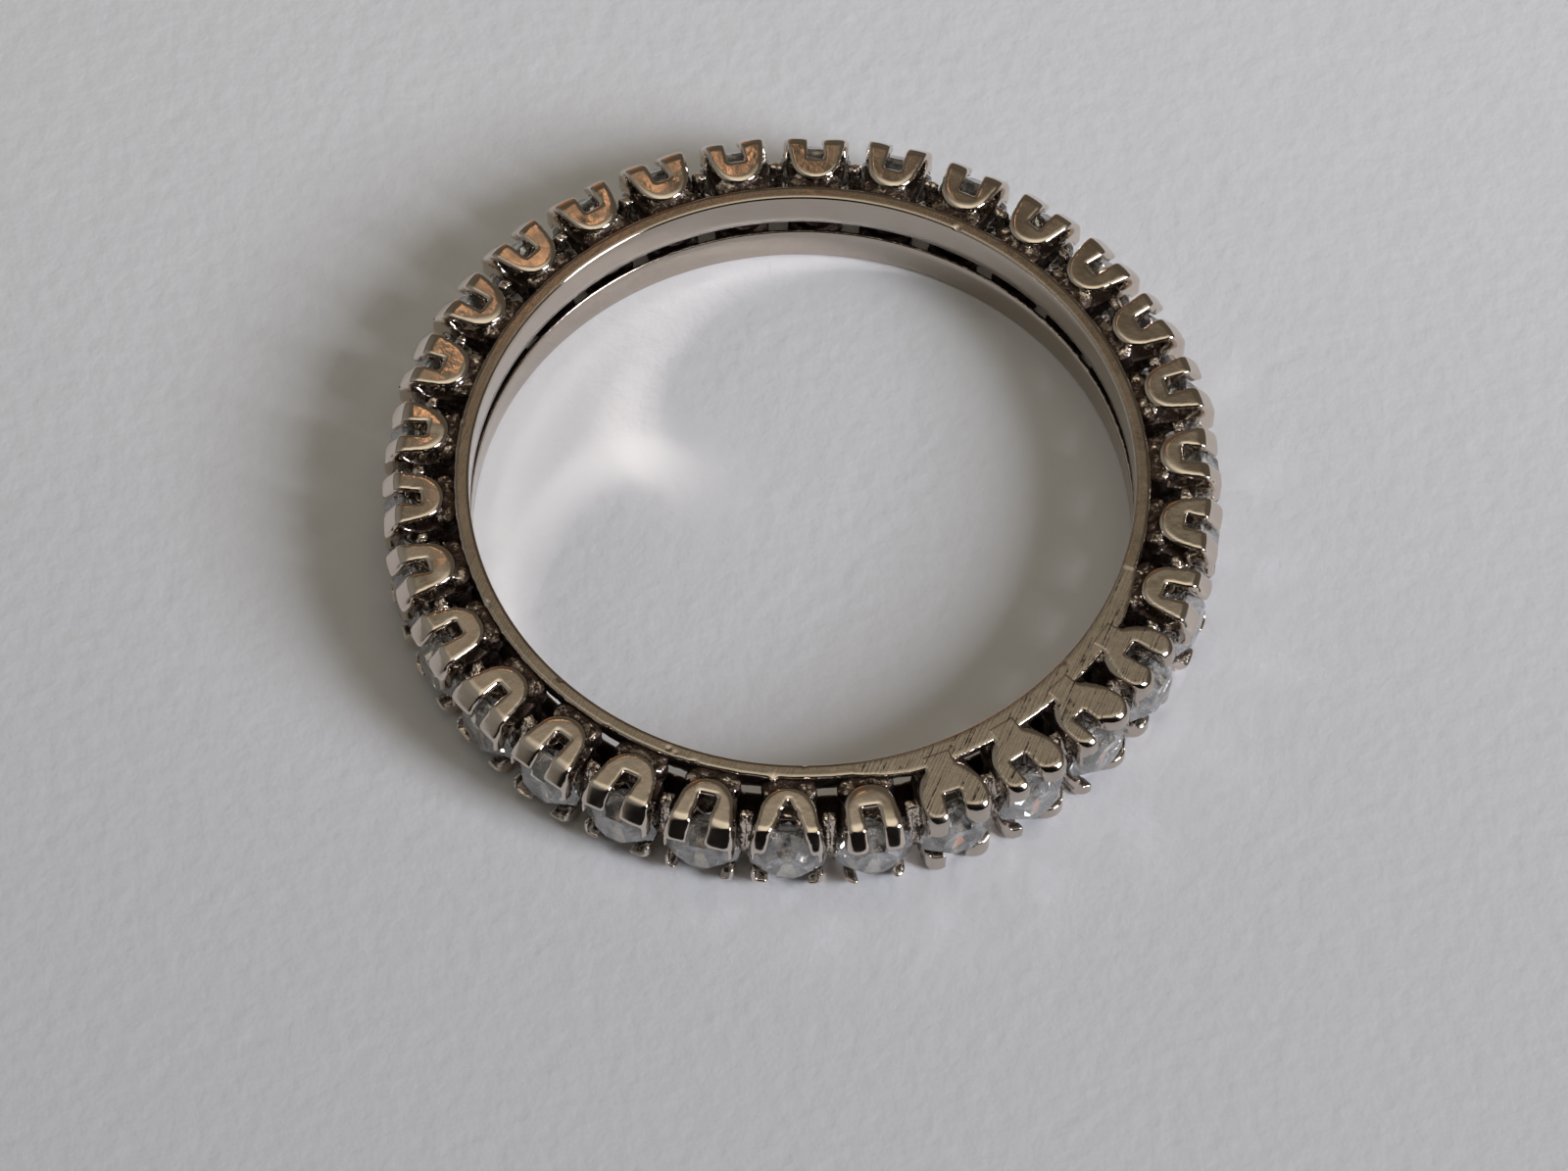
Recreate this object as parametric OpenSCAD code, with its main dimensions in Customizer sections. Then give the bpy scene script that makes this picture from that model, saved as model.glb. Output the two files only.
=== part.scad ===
// Full eternity ring: two plain rails carry a row of round stones in slotted collets.
// The ring's axis is Z and the origin is the middle of the finger hole, half way up the band.
// Sizes are in millimetres. The first stone is at -Y and the others follow anticlockwise.

/* [Rails] */
// Inside diameter of the finger hole
finger_d = 17; // [14:0.5:22]
// Height of the band along the finger
band_h = 2.7; // [2.6:0.05:3.1]
// Height of one rail's inner wall
rail_h = 1.12; // [0.95:0.01:1.2]
// Thickness of a rail at its outer side
rail_t = 0.4; // [0.34:0.01:0.5]
// Height of a rail's upright outer wall, before it slopes in under the rail
rail_wall_h = 0.42; // [0.36:0.01:0.5]
// Thickness of a rail at its thin inner lip
rail_lip_t = 0.08; // [0.05:0.01:0.12]
// Rounding of a rail's long edges
rail_round = 0.07; // [0.04:0.01:0.09]

/* [Stones] */
// Diameter of a stone at its girdle
stone_d = 2; // [1.85:0.01:2.1]
// Diameter of the flat table, measured over its corners
table_d = 1.1; // [0.9:0.05:1.2]
// Height of the crown above the girdle
crown_h = 0.36; // [0.3:0.01:0.4]
// Height of the girdle where two facets meet on it
girdle_h = 0.17; // [0.16:0.01:0.2]
// Depth of the pavilion below the girdle
pavilion_h = 0.8; // [0.7:0.01:0.86]
// Distance from the finger hole's wall out to the top of the girdle
girdle_lift = 1.86; // [1.8:0.01:1.98]
// Least gap between the girdles of two neighbours
stone_gap = 0.12; // [0.1:0.01:0.3]
// Gap kept between a stone and the metal round it
stone_fit = 0.03; // [0.02:0.005:0.04]

/* [Collets] */
// Width of a girdle that stands out past each side of its collet
side_reveal = 0.02; // [0:0.01:0.04]
// Gap between a rail and the collet's shoulder
shoulder_gap = 0.28; // [0.22:0.01:0.34]
// Height that filing takes off the round shoulder
shoulder_filed = 0.02; // [0.01:0.005:0.04]
// Growth of the collet's radius for each millimetre outwards from the shoulder
taper = 0.27; // [0.2:0.01:0.34]
// Shrinking of that radius for each millimetre inwards from the shoulder
back_taper = 1; // [0.8:0.05:1.2]
// Depth to which the collet's round back sinks into the rails
nose_sink = 0.1; // [0.06:0.01:0.14]
// Rounding of the back, as the amount by which its radius is over half of the width
nose_spread = 0.1; // [0.06:0.01:0.16]
// Radius of the open base behind the stone
base_hole_r = 0.35; // [0.25:0.01:0.4]
// Width of the ledge that carries the stone
ledge_w = 0.16; // [0.1:0.01:0.2]
// Radius of the cavity at its floor
floor_r = 0.58; // [0.5:0.01:0.62]
// Depth of the floor below the point of the stone
floor_drop = 0.08; // [0.05:0.01:0.1]

/* [Claws] */
// Width of the slot between two claws on the side of the band
slot_w = 0.45; // [0.35:0.01:0.55]
// Depth of that slot below the top of the girdle
slot_depth = 0.56; // [0.5:0.01:0.66]
// Height of the slot between two claws that faces the next stone
gap_h = 0.56; // [0.4:0.02:0.8]
// Distance of that slot's middle below the middle of the band
gap_drop = 0.12; // [0:0.01:0.16]
// Depth of that slot below the top of the girdle
gap_depth = 0.26; // [0.22:0.01:0.3]
// Height of the claws above the girdle
claw_rise = 0.5; // [0.46:0.01:0.54]
// Distance over which the claws roll back from their top to the band's flat faces
claw_roll = 0.76; // [0.66:0.01:0.86]
// Distance by which the claws fall back towards the sides of their collet
claw_bow = 0.26; // [0.18:0.01:0.32]
// Distance by which a claw reaches in over the stone
claw_grip = 0.34; // [0.26:0.01:0.4]

/* [Joins] */
// Radial thickness of the web that ties two collets together
web_t = 0.24; // [0.16:0.01:0.3]
// Distance of the web's ends from the two faces of the band
web_inset = 0.2; // [0.15:0.01:0.4]
// Depth to which a web sinks into a collet's wall
web_sink = 0.05; // [0.03:0.01:0.07]
// Radius of the solder pad between a collet and a rail
pad_r = 0.42; // [0.36:0.01:0.46]
// Distance of a pad below the face of the band
pad_drop = 0.15; // [0.1:0.01:0.2]
// Distance by which a pad sinks into the rail
pad_sink = 0.22; // [0.15:0.01:0.24]

/* [Filed stretch] */
// Direction of the middle of the stretch where the upper rail is filed broad and flush
filed_at = -48; // [-90:1:0]
// Angle that the stretch covers
filed_span = 64; // [40:1:90]
// Distance by which the filed rail stands out past the plain one
filed_reach = 0.25; // [0.1:0.01:0.3]
// Thickness of the filed edge
filed_t = 0.2; // [0.12:0.01:0.3]
// Offset of the circle that tapers the ends, as a share of the filed edge's radius
filed_offset_share = 0.28; // [0.2:0.01:0.36]
// Angle at each end of the stretch where the collets aren't joined to it
flush_margin = 10; // [6:1:14]
// Width of the flush join between the filed rail and a collet
flush_w = 0.55; // [0.4:0.05:0.9]
// Length of that join that lies on the collet's face
flush_lap = 0.08; // [0.05:0.01:0.12]

/* [Hidden] */
// Overshoot of a cut past the face that it opens
cut = 0.5;
// Distance that keeps two surfaces from touching
apart = 0.01;
// Segments of a circle: usual ones, the rails and the small pads
$fn = 64;
rail_fn = 256;
pad_fn = 32;
// Segments in the rounding of a rail's edge
edge_steps = 3;
// Facets round a stone's crown, and as many round its pavilion
facets = 8;

finger_r = finger_d / 2;
half_h = band_h / 2;
rail_out_r = finger_r + rail_t;
lip_edge = rail_lip_t / 3;

stone_r = stone_d / 2;
table_r = table_d / 2;
girdle_top = finger_r + girdle_lift;
girdle_low = girdle_top - girdle_h;
culet = girdle_low - pavilion_h;
table_top = girdle_top + crown_h;

// The row holds as many stones as fit round the girdle circle with the least gap between them
stone_count = floor(180 / asin((stone_d + stone_gap) / 2 / girdle_low));
pitch = 360 / stone_count;

half_w = stone_r - side_reveal;
nose_r = half_w + nose_spread;
nose_at = rail_out_r - nose_sink + nose_r;
shoulder_r = half_h + shoulder_filed;
shoulder_at = rail_out_r + shoulder_gap;

// The claws roll over one round surface along the band's height and bow over one along its row
claw_top = girdle_top + claw_rise;
roll_r = bow_radius(claw_roll, half_h);
roll_at = claw_top - roll_r;
side_r = bow_radius(claw_bow, half_w);
side_at = claw_top - side_r;
tip_r = stone_r - claw_grip;

slot_floor = girdle_top - slot_depth;
gap_floor = girdle_top - gap_depth;
web_at = gap_floor - web_t / 2 - apart;
floor_at = culet - floor_drop;

// Half of the open space between two collets where the web sits, plus what sinks in
web_half_w = web_at * sin(pitch / 2) - half_w + web_sink;

pad_at = rail_out_r - pad_sink + pad_r;
pad_top = half_h - pad_drop;
pad_low = floor_r + stone_fit + apart;

filed_out_r = rail_out_r + filed_reach;
// The filed edge runs out where a second circle, off centre, crosses the plain rail
filed_offset = filed_out_r * filed_offset_share;
filed_disc_r = sqrt(
    rail_out_r ^ 2 + filed_offset ^ 2
    - 2 * rail_out_r * filed_offset * cos(filed_span / 2)
);

function stone_name(i) = str("stone_", i < 10 ? "0" : "", i);
function bearing(i) = -90 + (i - 1) * pitch;
function off_filed(i) = abs((bearing(i) - filed_at + 540) % 360 - 180);
function is_flush(i) = off_filed(i) < filed_span / 2 - flush_margin;

// Radius of an arc that rises by the first size over half of its chord
function bow_radius(rise, half_chord) = (rise ^ 2 + half_chord ^ 2) / (2 * rise);

// Points along an arc, in steps that keep a small edge round
function arc(x, y, r, from, to, steps) = [
    for (s = [0 : steps])
        let (a = from + (to - from) * s / steps)
            [x + r * cos(a), y + r * sin(a)]
];

// Puts a shape at a setting, with X pointing out from the ring's axis
module at_bearing(angle) {
    rotate([0, 0, angle]) children();
}

// Turns a shape that is built round Z so that its axis points outwards along X
module facing_out() {
    rotate([0, 90, 0]) children();
}

// The upper rail's section: a plain inner wall, a flat top and a sloping underside
module rail_section() {
    r = rail_round;
    low = half_h - rail_h;
    polygon(concat(
        arc(finger_r + r, half_h - r, r, 180, 90, edge_steps),
        arc(rail_out_r - r, half_h - r, r, 90, 0, edge_steps),
        [
            [rail_out_r, half_h - rail_wall_h],
            [finger_r + rail_lip_t, low],
            [finger_r + lip_edge, low],
            [finger_r, low + lip_edge],
        ]
    ));
}

module rail() {
    rotate_extrude($fn = rail_fn) rail_section();
}

// The broad flush edge that filing left on one stretch of the upper rail
module filed_edge() {
    cut_h = filed_t + 2 * cut;
    translate([0, 0, half_h - filed_t]) intersection() {
        difference() {
            cylinder(r = filed_out_r, h = filed_t, $fn = rail_fn);
            translate([0, 0, -cut]) cylinder(r = finger_r + rail_t / 2, h = cut_h, $fn = rail_fn);
        }
        rotate([0, 0, filed_at]) translate([filed_offset, 0, -cut])
            cylinder(r = filed_disc_r, h = cut_h, $fn = rail_fn);
    }
}

// The block that joins a collet's face to the filed edge without a step
module flush_join() {
    inner = (finger_r + rail_out_r) / 2;
    // The filed face is as wide as the join at this distance outwards from the shoulder
    reach = (norm([half_h, flush_w / 2]) - shoulder_r) / taper;
    outer = shoulder_at + reach + flush_lap;
    translate([inner, -flush_w / 2, half_h - filed_t])
        cube([outer - inner, flush_w, filed_t]);
}

// A round collet that widens outwards from its shoulder and narrows behind it
module collet_cone() {
    inner = finger_r;
    outer = claw_top + cut;
    facing_out() rotate_extrude() polygon([
        [0, inner],
        [shoulder_r - (shoulder_at - inner) * back_taper, inner],
        [shoulder_r, shoulder_at],
        [shoulder_r + (outer - shoulder_at) * taper, outer],
        [0, outer],
    ]);
}

// A collet before it is bored: filed flat on its four sides, round at its back and its claws
module collet_blank() {
    intersection() {
        collet_cone();
        translate([nose_at, 0, 0]) cylinder(r = nose_r, h = band_h, center = true);
        translate([nose_at, 0, 0]) cube([4 * nose_r, 2 * half_w, 2 * band_h], center = true);
        translate([roll_at, 0, 0]) rotate([90, 0, 0]) cylinder(r = roll_r, h = band_h, center = true);
        translate([side_at, 0, 0]) cylinder(r = side_r, h = 2 * band_h, center = true);
    }
}

// Solder between the back of a collet and one rail
module pad() {
    translate([pad_at, 0, pad_low]) cylinder(r = pad_r, h = pad_top - pad_low, $fn = pad_fn);
}

// What is bored out for the stone: the open base, the cavity, the seat and the way in
module stone_room() {
    slope = pavilion_h / stone_r;
    seat_r = stone_r + stone_fit;
    ledge_r = stone_r - ledge_w;
    seat_low = girdle_low - stone_fit;
    crown_slope = crown_h / (stone_r - table_r);
    crown_at = girdle_top + stone_fit;
    facing_out() rotate_extrude() polygon([
        [0, finger_r - cut],
        [base_hole_r, finger_r - cut],
        [base_hole_r, floor_at],
        [floor_r, floor_at],
        [ledge_r, seat_low - (seat_r - ledge_r) * slope],
        [seat_r, seat_low],
        [seat_r, crown_at],
        [tip_r, crown_at + (seat_r - tip_r) * crown_slope],
        [tip_r, table_top + cut],
        [0, table_top + cut],
    ]);
}

// The slots that part the claws: one through both sides of the band, one towards each neighbour
module claw_slots() {
    reach = table_top + cut;
    translate([slot_floor, -slot_w / 2, -half_h - cut])
        cube([reach - slot_floor, slot_w, band_h + 2 * cut]);
    translate([gap_floor, -half_w - cut, -gap_drop - gap_h / 2])
        cube([reach - gap_floor, 2 * (half_w + cut), gap_h]);
}

// One finished collet with its four claws and its pads of solder
module collet(flush) {
    difference() {
        union() {
            collet_blank();
            pad();
            mirror([0, 0, 1]) pad();
            if (flush) flush_join();
        }
        stone_room();
        claw_slots();
    }
}

// The upright web between a collet and the next one
module web() {
    translate([web_at, 0, 0])
        cube([web_t, 2 * web_half_w, band_h - 2 * web_inset], center = true);
}

// All the metal, soldered into one piece
module mount() {
    color([0.74, 0.71, 0.66]) union() {
        rail();
        mirror([0, 0, 1]) rail();
        filed_edge();
        for (i = [1 : stone_count]) {
            at_bearing(bearing(i)) collet(is_flush(i));
            at_bearing(bearing(i) + pitch / 2) web();
        }
    }
}

// A single-cut stone along Z, with the top of its girdle at zero: a table, eight crown facets,
// a girdle that dips in the middle of each facet, and eight pavilion facets
module cut_stone() {
    corners = 2 * facets;
    half_step = 360 / corners;
    // A flat facet meets the round girdle lower in its middle than at its ends
    sag = 1 - cos(half_step);
    crown_dip = sag * crown_h / (cos(half_step) * (1 - table_r / stone_r));
    pavilion_dip = sag * pavilion_h / cos(half_step);
    table_ring = [for (k = [0 : facets - 1]) let (a = (2 * k + 1) * half_step)
        [table_r * cos(a), table_r * sin(a), crown_h]];
    upper_ring = [for (k = [0 : corners - 1]) let (a = k * half_step)
        [stone_r * cos(a), stone_r * sin(a), k % 2 == 0 ? -crown_dip : 0]];
    lower_ring = [for (k = [0 : corners - 1]) let (a = k * half_step)
        [stone_r * cos(a), stone_r * sin(a), -girdle_h + (k % 2 == 0 ? pavilion_dip : 0)]];
    point = [[0, 0, -girdle_h - pavilion_h]];
    upper = facets;
    lower = upper + corners;
    tip = lower + corners;
    polyhedron(
        points = concat(table_ring, upper_ring, lower_ring, point),
        faces = concat(
            [[for (k = [facets - 1 : -1 : 0]) k]],
            [for (k = [0 : facets - 1])
                let (p = (k + facets - 1) % facets, before = (2 * k + corners - 1) % corners)
                    [p, k, upper + 2 * k + 1, upper + 2 * k, upper + before]],
            [for (k = [0 : corners - 1]) let (n = (k + 1) % corners)
                [upper + k, upper + n, lower + n, lower + k]],
            [for (k = [0 : facets - 1]) let (before = (2 * k + corners - 1) % corners)
                [tip, lower + before, lower + 2 * k, lower + 2 * k + 1]]
        )
    );
}

// One stone in its collet
module stone(i) {
    color([0.84, 0.87, 0.9]) at_bearing(bearing(i))
        translate([girdle_top, 0, 0]) facing_out() cut_stone();
}

mount();
for (i = [1 : stone_count]) {
    stone(i);
}
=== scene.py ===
"""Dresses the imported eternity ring: worn white gold, small old stones, white paper and soft light.

Sizes in the classes are in millimetres, as at the bench, and every mesh is made in metres.
"""

import itertools
import logging
import math
from dataclasses import dataclass, field, replace
from enum import Enum
from typing import Callable, Sequence

import bpy
import numpy as np
from bpy.types import Material, Node, NodeSocket, NodeTree, Object
from mathutils import Matrix, Vector


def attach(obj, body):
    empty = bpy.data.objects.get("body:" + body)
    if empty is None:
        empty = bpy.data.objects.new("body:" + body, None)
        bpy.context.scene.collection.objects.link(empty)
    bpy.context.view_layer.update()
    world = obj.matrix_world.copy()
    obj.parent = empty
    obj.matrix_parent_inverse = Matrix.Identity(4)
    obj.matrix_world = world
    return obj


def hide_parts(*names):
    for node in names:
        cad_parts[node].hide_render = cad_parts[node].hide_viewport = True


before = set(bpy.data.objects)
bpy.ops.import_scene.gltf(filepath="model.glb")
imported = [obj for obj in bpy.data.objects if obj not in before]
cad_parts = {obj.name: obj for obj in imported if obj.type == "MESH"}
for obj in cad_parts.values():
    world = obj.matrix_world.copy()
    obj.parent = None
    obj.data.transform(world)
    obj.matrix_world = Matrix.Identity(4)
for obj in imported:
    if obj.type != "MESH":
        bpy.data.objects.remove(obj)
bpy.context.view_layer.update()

LOG = logging.getLogger("ring")
MM = 0.001
# Way of the file's strokes, in degrees.
FILE_STROKE = 70.0
Array = np.ndarray
Corner = tuple[float, float, float]
Place = Sequence[Array]
Field = Callable[[Place], Array]


def linear(hex_colour: str) -> tuple[float, float, float, float]:
    """Turns an sRGB hex colour into Blender's linear values.

    Args:
        hex_colour: six hex digits, with or without a leading hash.

    Returns:
        Red, green, blue and an alpha of one.
    """
    digits = hex_colour.lstrip("#")
    values = []
    for start in (0, 2, 4):
        share = int(digits[start:start + 2], 16) / 255
        values.append(share / 12.92 if share <= 0.04045 else ((share + 0.055) / 1.055) ** 2.4)
    return values[0], values[1], values[2], 1.0


def add_node(tree: NodeTree, kind: str, sockets: dict | None = None, **settings: object) -> Node:
    """Adds a shader node with its settings and links.

    Args:
        tree: the node tree that takes the node.
        kind: the node's type name, without the leading ShaderNode.
        sockets: input name or number to a value, or to an output socket that is linked to it.
        settings: properties of the node itself.

    Returns:
        The new node.
    """
    node = tree.nodes.new("ShaderNode" + kind)
    for name, value in settings.items():
        setattr(node, name, value)
    for name, value in (sockets or {}).items():
        if isinstance(value, NodeSocket):
            tree.links.new(value, node.inputs[name])
        else:
            node.inputs[name].default_value = value
    return node


def new_material(name: str) -> tuple[Material, NodeTree, Node]:
    """Makes a material with nodes.

    Args:
        name: the material's name.

    Returns:
        The material, its node tree and its shader.
    """
    made = bpy.data.materials.new(name)
    made.use_nodes = True
    return made, made.node_tree, made.node_tree.nodes["Principled BSDF"]


def put(name: str, data: bpy.types.ID) -> Object:
    """Puts a mesh, a light or a camera in the scene.

    Args:
        name: the object's name.
        data: what the object holds.

    Returns:
        The new object.
    """
    made = bpy.data.objects.new(name, data)
    bpy.context.scene.collection.objects.link(made)
    return made


def pattern(size: float) -> float:
    """Scale of a texture whose features are this many millimetres wide, on coordinates in metres."""
    return 1 / (size * MM)


def direction(azimuth: float, elevation: float) -> Vector:
    """Way from the ring to a place, with azimuth zero at the camera's side, in degrees."""
    turn, rise = math.radians(azimuth), math.radians(elevation)
    return Vector((math.sin(turn) * math.cos(rise), -math.cos(turn) * math.cos(rise), math.sin(rise)))


def off_bearing(angle: float | Array, middle: float) -> float | Array:
    """Angle from one direction to another in degrees, between -180 and 180."""
    return (angle - middle + 180) % 360 - 180


def rotated(x: Array, y: Array, angle: float) -> tuple[Array, Array]:
    """Turns two coordinates anticlockwise by an angle in degrees."""
    cos, sin = math.cos(math.radians(angle)), math.sin(math.radians(angle))
    return x * cos - y * sin, x * sin + y * cos


def smooth_max(a: Array, b: Array, width: float) -> Array:
    """Meets two distance fields as an intersection whose edge is rounded over the width."""
    near = np.maximum(width - np.abs(a - b), 0) / width
    return np.maximum(a, b) + near * near * width / 4


def smooth_min(a: Array, b: Array, width: float) -> Array:
    """Joins two distance fields with a fillet over the width."""
    return -smooth_max(-a, -b, width)


def slab(value: Array, middle: float, half: float) -> Array:
    """Distance to a slab that lies across one coordinate."""
    return np.abs(value - middle) - half


def outline_distance(u: Array, v: Array, points: list[tuple[float, float]]) -> Array:
    """Signed distance to a closed outline in a plane, negative inside.

    Args:
        u: first coordinate of each sample.
        v: second coordinate of each sample.
        points: the outline's corners in order.

    Returns:
        The distance of each sample.
    """
    nearest = np.full(u.shape, 1e9)
    inside = np.zeros(u.shape, bool)
    for (ax, ay), (bx, by) in zip(points, points[1:] + points[:1]):
        ex, ey = bx - ax, by - ay
        wx, wy = u - ax, v - ay
        along = np.clip((wx * ex + wy * ey) / (ex * ex + ey * ey), 0, 1)
        nearest = np.minimum(nearest, (wx - ex * along) ** 2 + (wy - ey * along) ** 2)
        if ay != by:
            inside ^= ((ay > v) != (by > v)) & (u < (bx - ax) * (v - ay) / (by - ay) + ax)
    return np.where(inside, -1.0, 1.0) * np.sqrt(nearest)


class Lattice:
    """Smooth random values in space, the same on every run."""

    def __init__(self, seed: int, size: int = 32) -> None:
        """Fills the lattice from the seed."""
        self.size = size
        self.values = np.random.default_rng(seed).uniform(-1, 1, (size, size, size))

    def at(self, place: Place, pitch: float) -> Array:
        """Blends the lattice's values.

        Args:
            place: three coordinates in millimetres.
            pitch: distance between two lattice points in millimetres.

        Returns:
            Values between minus one and one.
        """
        cells, blends = [], []
        for coordinate in place:
            low = np.floor(coordinate / pitch)
            part = coordinate / pitch - low
            cells.append(low.astype(int))
            blends.append(part * part * (3 - 2 * part))
        total = np.zeros(np.broadcast(*place).shape)
        for corner in itertools.product((0, 1), repeat=3):
            weight = 1.0
            owner = []
            for cell, blend, step in zip(cells, blends, corner):
                weight = weight * (blend if step else 1 - blend)
                owner.append((cell + step) % self.size)
            total += weight * self.values[tuple(owner)]
        return total


@dataclass(frozen=True)
class Skin:
    """The surface of a distance field, as quads of an even size."""

    step: float = 0.054
    tightening: int = 2
    longest_move: float = 0.45

    def wrap(self, shape: Field, low: Corner, high: Corner) -> tuple[Array, Array]:
        """Finds the surface inside a box, closed at the box's walls.

        Args:
            shape: distance field, negative inside the metal.
            low: the box's lowest corner in millimetres.
            high: the box's highest corner in millimetres.

        Returns:
            The points and the quads' point numbers.
        """
        axes = [np.arange(a, b + self.step, self.step) for a, b in zip(low, high)]
        values = shape(np.meshgrid(*axes, indexing="ij"))
        for axis in range(3):
            for end in (0, -1):
                edge = [slice(None)] * 3
                edge[axis] = end
                values[tuple(edge)] = np.maximum(values[tuple(edge)], self.step / 10)
        cells = np.array(values.shape) - 1
        strides = np.array([cells[1] * cells[2], cells[2], 1])
        owners, places, quads = [], [], []
        # Each step of the grid that enters or leaves the metal gives one quad, between the four cells round it.
        for axis in range(3):
            first, second = [slice(None)] * 3, [slice(None)] * 3
            first[axis], second[axis] = slice(0, -1), slice(1, None)
            here, there = values[tuple(first)], values[tuple(second)]
            start = np.argwhere((here < 0) != (there < 0))
            a, b = here[tuple(start.T)], there[tuple(start.T)]
            place = start.astype(float)
            place[:, axis] += a / (a - b)
            u, v = (axis + 1) % 3, (axis + 2) % 3
            ring = []
            for du, dv in ((0, 0), (-1, 0), (-1, -1), (0, -1)):
                cell = start.copy()
                cell[:, u] += du
                cell[:, v] += dv
                number = cell @ strides
                ring.append(number)
                owners.append(number)
                places.append(place)
            quad = np.stack(ring, 1)
            quads.append(np.where((a < 0)[:, None], quad, quad[:, ::-1]))
        place = np.concatenate(places)
        used, compact = np.unique(np.concatenate(owners), return_inverse=True)
        count = np.bincount(compact)
        points = np.stack([np.bincount(compact, place[:, k]) / count for k in range(3)], 1)
        points = np.array(low) + points * self.step
        return self.tighten(shape, points), np.searchsorted(used, np.concatenate(quads))

    def tighten(self, shape: Field, points: Array) -> Array:
        """Moves the points onto the field's surface.

        Args:
            shape: distance field of the metal.
            points: points near its surface.

        Returns:
            The moved points.
        """
        for _ in range(self.tightening):
            value = shape(points.T)
            slope = self.slope(shape, points)
            size = np.maximum((slope ** 2).sum(1), 0.05)
            move = -(value / size)[:, None] * slope
            length = np.maximum(np.linalg.norm(move, axis=1), 1e-9)
            points = points + move * np.minimum(1, self.step * self.longest_move / length)[:, None]
        return points

    def slope(self, shape: Field, points: Array) -> Array:
        """Measures how the field rises at each point.

        Args:
            shape: distance field of the metal.
            points: where it is measured.

        Returns:
            The rise along each axis.
        """
        reach = self.step * 0.1
        rise = np.empty_like(points)
        for axis in range(3):
            ahead, behind = points.copy(), points.copy()
            ahead[:, axis] += reach
            behind[:, axis] -= reach
            rise[:, axis] = (shape(ahead.T) - shape(behind.T)) / (2 * reach)
        return rise

    def normals(self, shape: Field, points: Array) -> Array:
        """Finds the outward direction of the surface at each point."""
        rise = self.slope(shape, points)
        return rise / np.maximum(np.linalg.norm(rise, axis=1), 1e-9)[:, None]


def mesh_piece(name: str, points: Array, quads: Array, material: Material) -> Object:
    """Makes a smoothly shaded mesh object from points in millimetres.

    Args:
        name: the piece's name.
        points: one row for each point.
        quads: one row of four point numbers for each face.
        material: the piece's finish.

    Returns:
        The new object, linked to the scene.
    """
    mesh = bpy.data.meshes.new(name)
    mesh.vertices.add(len(points))
    mesh.vertices.foreach_set("co", (points * MM).astype(np.float32).ravel())
    mesh.loops.add(quads.size)
    mesh.loops.foreach_set("vertex_index", quads.astype(np.int32).ravel())
    mesh.polygons.add(len(quads))
    mesh.polygons.foreach_set("loop_start", np.arange(0, quads.size, quads.shape[1], dtype=np.int32))
    mesh.update(calc_edges=True)
    mesh.validate()
    mesh.polygons.foreach_set("use_smooth", np.ones(len(mesh.polygons), bool))
    mesh.materials.append(material)
    return put(name, mesh)


def mark(piece: Object, points: Array, shares: dict[str, Array]) -> None:
    """Stores what the finish reads at each point: the way of the file's strokes, and shares from zero to one.

    Args:
        piece: the piece that is marked.
        points: its points in millimetres.
        shares: name to one share for each point.
    """
    along, across = rotated(points[:, 0], points[:, 1], -FILE_STROKE)
    grain = np.stack([-across, along, points[:, 2]], 1).astype(np.float32)
    piece.data.attributes.new("grain", "FLOAT_VECTOR", "POINT").data.foreach_set("vector", grain.ravel())
    for name, share in shares.items():
        piece.data.attributes.new(name, "FLOAT", "POINT").data.foreach_set("value", share.astype(np.float32))


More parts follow.
